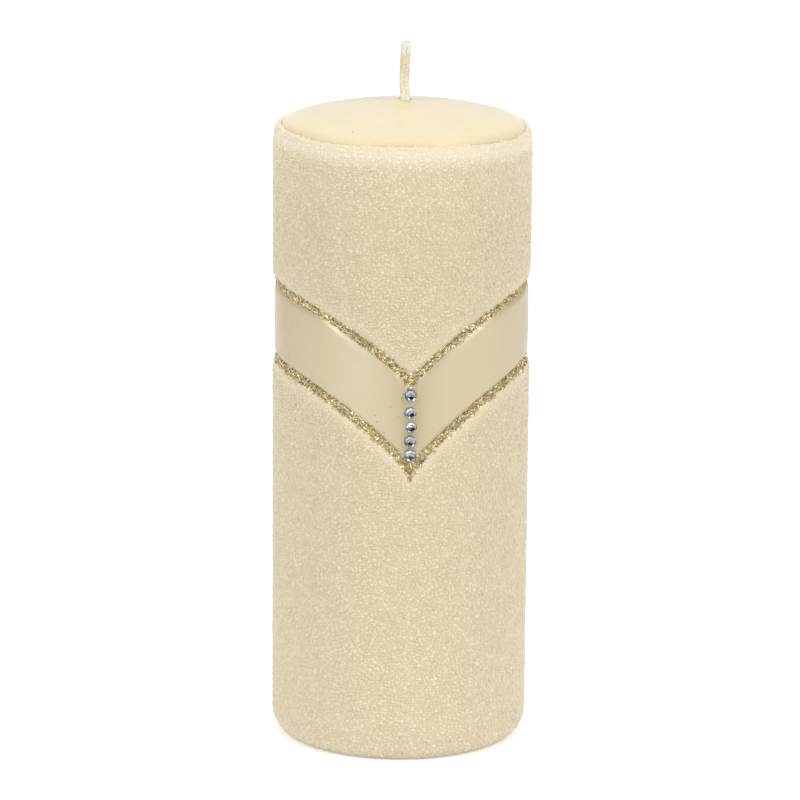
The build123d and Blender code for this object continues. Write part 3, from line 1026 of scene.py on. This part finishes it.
def build_stone(number):
    """A faceted glass stone with its foil and the glue squeezed out round it."""
    low, high = box_mm(STONE_NODES[number])
    radius = (high[0] - low[0]) / 2 * STONE_SIZES[number]
    rise = high[1] - low[1]
    spin = math.radians(STONE_TILTS[number][2])
    centre, across, up, out = stone_frame(number)

    def world(points, back=0.0):
        return centre + points[:, :1] * across + points[:, 1:2] * up + (points[:, 2:] - back) * out

    n = STONE_CUTS
    girdle, star, table = 2 * n, 4 * n, 5 * n
    triangles, quads = [], []
    for i in range(2 * n):
        j = (i + 1) % (2 * n)
        quads.append((i, j, girdle + j, girdle + i))
    for i in range(n):
        j = (i + 1) % n
        triangles.append((table + i, star + i, table + j))
        quads.append((girdle + 2 * j, star + j, table + j, star + i))
        triangles.append((girdle + 2 * i, girdle + 2 * i + 1, star + i))
        triangles.append((girdle + 2 * i + 1, girdle + 2 * j, star + i))
    rings = stone_rings(radius, rise, spin)
    points = np.concatenate([*rings, [[0, 0, -STONE_DISH]]])
    back = np.arange(2 * n)
    faces = [triangles, quads, [table + back[:n]], fan(6 * n, back, flip=True)]
    stone = make_object(f"stone_{number + 1}", world(points), faces, smooth=False)
    finish_piece(stone, "stone_glass", STONE_GLASS, STONE_NODES[number])

    cup = [rings[0] * reach + [0, 0, height] for reach, height in FOIL_SECTION]
    cup.append([[0, 0, -0.01 - STONE_DISH], [0, 0, -0.04 - STONE_DISH]])
    wall = grid_faces(len(FOIL_SECTION), 2 * n, wrap_columns=True)
    faces = [wall, fan(8 * n, back, flip=True), fan(8 * n + 1, 6 * n + back)]
    foil = make_object(f"foil_{number + 1}", world(np.concatenate(cup)), faces, smooth=False)
    finish_piece(foil, "stone_foil", STONE_FOIL, f"rhinestone_foil_{number + 1}")
    build_glue(number, radius, world)


def build_glue(number, radius, world):
    """A flattened cushion of clear glue that shows as a thin rim round the stone."""
    turns = np.arange(64) * TAU / 64
    wobble = 1 + 0.035 * np.sin(3 * turns + number) + 0.02 * np.sin(5 * turns + 2 * number)
    rows = []
    for reach, height in GLUE_SECTION:
        out = radius * (reach if reach < 1 else 1 + (reach - 1) * wobble**4)
        rows.append(circle(len(turns), out, height))
    body = grid_faces(len(rows), len(turns), wrap_rows=True, wrap_columns=True)
    glue = make_object(f"glue_{number + 1}", world(np.concatenate(rows), 0.03), [body])
    finish_piece(glue, "clear_adhesive", ADHESIVE, f"stone_adhesive_{number + 1}")


for stone_number in range(len(STONE_NODES)):
    build_stone(stone_number)

# A drop of pearl wax that ran out above the top stone; its palest tone is partly a painted
# highlight.
DROP_PLACE, DROP_SIZE = (-0.1, -36.1, 107.5), (0.55, 0.4, 0.36)
drop = make_object("pearl_drop", BALL_POINTS * DROP_SIZE + DROP_PLACE, [BALL_FACES])
add_tone(drop, np.full(len(BALL_POINTS), 0.97))
finish_piece(drop, "pearl_wax", PEARL_WAX)


# ---- wick
def wick_point(height):
    """Centre of the wick and its direction at a height, straight in the wax and then leaning."""
    above = max(height - WICK_STRAIGHT_TOP, 0.0)
    share = above / (WICK_TIP - WICK_STRAIGHT_TOP)
    lean = WICK_LEAN * share
    x = WICK_X - WICK_SHIFT * min(above / 2, 1.0) + above * math.tan(lean / 2)
    return np.array([x, 0.0, height]), np.array([math.sin(lean), 0.0, math.cos(lean)])


def rounded_square(width, corner, per_side):
    """Points round a square with round corners, with the corner centres as arcs."""
    points = []
    inset = width / 2 - corner
    for quarter in range(4):
        base = quarter * math.pi / 2
        cx = inset * math.sqrt(2) * math.cos(base + math.pi / 4)
        cy = inset * math.sqrt(2) * math.sin(base + math.pi / 4)
        for turn in np.linspace(base, base + math.pi / 2, per_side):
            points.append((cx + corner * math.cos(turn), cy + corner * math.sin(turn)))
    return np.array(points)


def sweep_wick(name, low, high, section, steps, material, node=None, wobble=0.0):
    """A closed tube of the given section along the wick between two heights."""
    rows = []
    for k, height in enumerate(np.linspace(low, high, steps)):
        centre, direction = wick_point(height)
        across = np.array([direction[2], 0, -direction[0]])
        girth = np.interp(height, [WICK_STRAIGHT_TOP, WICK_TIP], [WICK_FOOT_GIRTH, 1.0])
        swell = girth + wobble * ripple(np.arange(len(section)) * 0.4, k * 0.35, 77, 2.0)
        ring = section * np.reshape(swell, (-1, 1))
        rows.append(centre + ring[:, :1] * across + ring[:, 1:] * np.array([0, 1.0, 0]))
    points = np.concatenate(rows + [[wick_point(low)[0]], [wick_point(high)[0]]])
    obj = make_object(name, points, tube_faces(steps, len(section)))
    finish_piece(obj, "wick_cotton", material, *([node] if node else []))


STITCH_PITCH = 1.05
STITCH_SLANT = 0.42
DRY_TIP = 3.2


def build_stitches(name, low, high, relief, material):
    """The plaited yarns on the wick's four faces: two columns of slanting stitches on each."""
    centres, turns, scales = [], [], []
    half = WICK_WIDTH / 2
    for face in range(4):
        base = face * math.pi / 2
        out = np.array([math.cos(base), math.sin(base), 0])
        aside = np.array([-math.sin(base), math.cos(base), 0])
        for column in (-1, 1):
            for height in np.arange(low, high, STITCH_PITCH):
                spot = height + (0.5 * STITCH_PITCH if column > 0 else 0)
                if spot > high:
                    continue
                centre, direction = wick_point(spot)
                slant = aside * column * math.sin(STITCH_SLANT)
                along = direction * math.cos(STITCH_SLANT) + slant
                centres.append(centre + out * (half - 0.28) + aside * column * half * 0.46)
                turns.append(np.stack([along, np.cross(out, along), out], 1))
                scales.append([0.92 + 0.06 * rng.normal(), 0.44, 0.30 + relief])
    turns, scales, centres = np.array(turns), np.array(scales), np.array(centres)
    obj = make_object(name, *many_copies(FINE_POINTS, FINE_FACES, turns, scales, centres))
    finish_piece(obj, "wick_cotton", material)


def build_fibres(name, count, low, high, spread_out):
    """Loose cotton fibres standing out of the dry tip."""
    points, faces = [], []
    sides, steps = 5, 6
    for _ in range(count):
        height = rng.uniform(low, high)
        centre, direction = wick_point(height)
        turn = rng.uniform(0, TAU)
        edge = WICK_WIDTH / 2 * rng.uniform(0.25, 0.98)
        root = centre + np.array([math.cos(turn) * edge, math.sin(turn) * edge, 0])
        out = np.array([math.cos(turn), math.sin(turn), 0]) * spread_out * rng.uniform(0.2, 1)
        length = rng.uniform(0.5, 1.5)
        thick = rng.uniform(0.035, 0.07)
        bend = rng.normal(0, 0.25, 3)
        first = len(points)
        for t in np.linspace(0, 1, steps):
            mid = root + length * (direction * t + out * t * t) + bend * t * t * 0.6
            points += list(mid + circle(sides, thick * (1 - 0.75 * t)))
        points += [root, mid]
        faces += tube_faces(steps, sides, first)
    obj = make_object(name, np.array(points), faces)
    finish_piece(obj, "wick_cotton", RAW_COTTON)


def build_wick():
    """The waxed braid, its dry tip and the loose fibres."""
    section = rounded_square(WICK_WIDTH - 0.25, 0.75, 7)
    dry_start = WICK_TIP - DRY_TIP
    sweep_wick("wick_core", 0.02, dry_start, section, 150, WAXED_COTTON, "wick")
    top = WICK_TIP - 0.35
    sweep_wick("wick_tip_core", dry_start, top, section * 0.94, 14, RAW_COTTON, wobble=0.05)
    build_stitches("wick_stitches", DOME_TOP - 1.0, dry_start, 0.0, WAXED_COTTON)
    build_stitches("wick_tip_stitches", dry_start + 0.2, WICK_TIP - 0.7, 0.02, RAW_COTTON)
    build_fibres("wick_fibres", 90, WICK_TIP - 2.2, WICK_TIP - 0.4, 0.25)


build_wick()


# ---- CAD node that stays as it is
clip = frame["nodes"]["wick_sustainer"]
clip.data.materials.clear()
clip.data.materials.append(CLIP_STEEL)


# ---- stage, light and camera
FLOOR_REACH = 9000.0
FLOOR_GREY, FLOOR_GLOW = 0.76, 0.30
BACKDROP_RADIUS, BACKDROP_HEIGHT = 8500.0, 6000.0
# The card's near edge and its far edge, as (lowest x, highest x, y), and its height.
CARD_NEAR, CARD_FAR = (-60, 110, -300), (-240, 440, -1300)
CARD_LOW, CARD_HIGH = 1, 850


def stage_material(name, grey, roughness, glow=0.0, specular=0.5):
    """A plain grey material that may glow white by itself."""
    return new_material(
        name, Base_Color=(grey, grey, grey, 1), Roughness=roughness, Specular_IOR_Level=specular,
        Emission_Color=(1, 1, 1, 1), Emission_Strength=glow,
    )[0]


def build_stage():
    """A pale floor, a white wall only the camera sees, a dark card only the stones reflect."""
    corners = np.array([(-1, -1, 0), (1, -1, 0), (1, 1, 0), (-1, 1, 0)], float)
    floor = make_object("floor", corners * FLOOR_REACH, [[(0, 1, 2, 3)]])
    floor.data.materials.append(stage_material("floor_white", FLOOR_GREY, 0.9, FLOOR_GLOW))

    rows = ((*CARD_NEAR, CARD_LOW), (*CARD_FAR, CARD_LOW), (*CARD_FAR, CARD_HIGH))
    points = [(x, y, z) for left, right, y, z in rows for x in (left, right)]
    card = make_object("dark_card", points, [[(0, 1, 3, 2), (2, 3, 5, 4)]])
    card.data.materials.append(stage_material("card_black", 0.05, 0.9, specular=0.0))
    card.visible_camera = card.visible_diffuse = card.visible_shadow = False

    wall = [circle(48, BACKDROP_RADIUS, height) for height in (0.0, BACKDROP_HEIGHT)]
    wall_faces = grid_faces(2, 48, wrap_columns=True)
    backdrop = make_object("backdrop", np.concatenate(wall), [wall_faces])
    backdrop.data.materials.append(stage_material("backdrop_white", 0.0, 1.0, 1.0))
    backdrop.visible_diffuse = backdrop.visible_glossy = False
    backdrop.visible_transmission = backdrop.visible_shadow = False


SKY_HORIZON = 0.22
SKY_OVERHEAD = 1.2
WALL_BEHIND = 0.75
WALL_TINT = (0.90, 0.965, 1.0)
# Soft boxes as (name, place, watts), all aimed at one point of the candle.
SOFT_BOXES = [("left_box", (-1170, -980, 1390), 14.5), ("right_box", (1100, -1060, 1390), 17.0)]
BOX_WIDTH, BOX_HEIGHT = 600, 900
BOX_TARGET = (0, 0, 110)


def build_light():
    """Surroundings that are brightest overhead and behind, and a soft box on each side."""
    world = bpy.data.worlds.new("surroundings")
    world.use_nodes = True
    tree = world.node_tree
    sides = axes(tree, "Generated")
    above, behind = (math_node(tree, "MAXIMUM", sides[axis], 0.0) for axis in "ZY")
    sky = math_node(tree, "MULTIPLY", math_node(tree, "POWER", above, 2.0), SKY_OVERHEAD)
    wall = math_node(tree, "MULTIPLY", math_node(tree, "POWER", behind, 2.0), WALL_BEHIND)
    total = math_node(tree, "ADD", math_node(tree, "ADD", sky, SKY_HORIZON), wall)
    hue = colour_ramp(tree, behind, [(0.0, (1, 1, 1)), (1.0, WALL_TINT)])
    fill(tree, tree.nodes["Background"], Strength=total, Color=hue)
    bpy.context.scene.world = world
    for name, place, power in SOFT_BOXES:
        light = bpy.data.lights.new(name, "AREA")
        light.shape, light.energy = "RECTANGLE", power
        light.size, light.size_y = BOX_WIDTH * MM, BOX_HEIGHT * MM
        obj = bpy.data.objects.new(name, light)
        obj.location = Vector(place) * MM
        aim = Vector(BOX_TARGET) * MM - obj.location
        obj.rotation_euler = aim.to_track_quat("-Z", "Y").to_euler()
        bpy.context.scene.collection.objects.link(obj)


CAMERA_DISTANCE = 1200.0
CAMERA_ELEVATION = math.radians(13.99)
CAMERA_AZIMUTH = math.radians(-4.5)
CAMERA_TARGET = (-0.2, 0.0, 85.0)
CAMERA_DROP = math.radians(0.481)
CAMERA_ROLL = math.radians(0.467)
CAMERA_LENS = 191.4


def build_camera():
    """The camera: a long lens, a little above the candle and a little to its left."""
    camera = bpy.data.cameras.new("camera")
    camera.lens, camera.sensor_width = CAMERA_LENS, 36.0
    camera.clip_start, camera.clip_end = 0.05, 60.0
    obj = bpy.data.objects.new("camera", camera)
    level = math.cos(CAMERA_ELEVATION)
    x, y = math.sin(CAMERA_AZIMUTH) * level, -math.cos(CAMERA_AZIMUTH) * level
    back = Vector((x, y, math.sin(CAMERA_ELEVATION)))
    obj.location = (Vector(CAMERA_TARGET) + back * CAMERA_DISTANCE) * MM
    tilt = math.pi / 2 - CAMERA_ELEVATION + CAMERA_DROP
    obj.rotation_euler = (tilt, 0, CAMERA_AZIMUTH)
    obj.rotation_euler.rotate_axis("Z", CAMERA_ROLL)
    bpy.context.scene.collection.objects.link(obj)
    bpy.context.scene.camera = obj


build_stage()
build_light()
build_camera()
bpy.context.scene.view_settings.view_transform = "Standard"
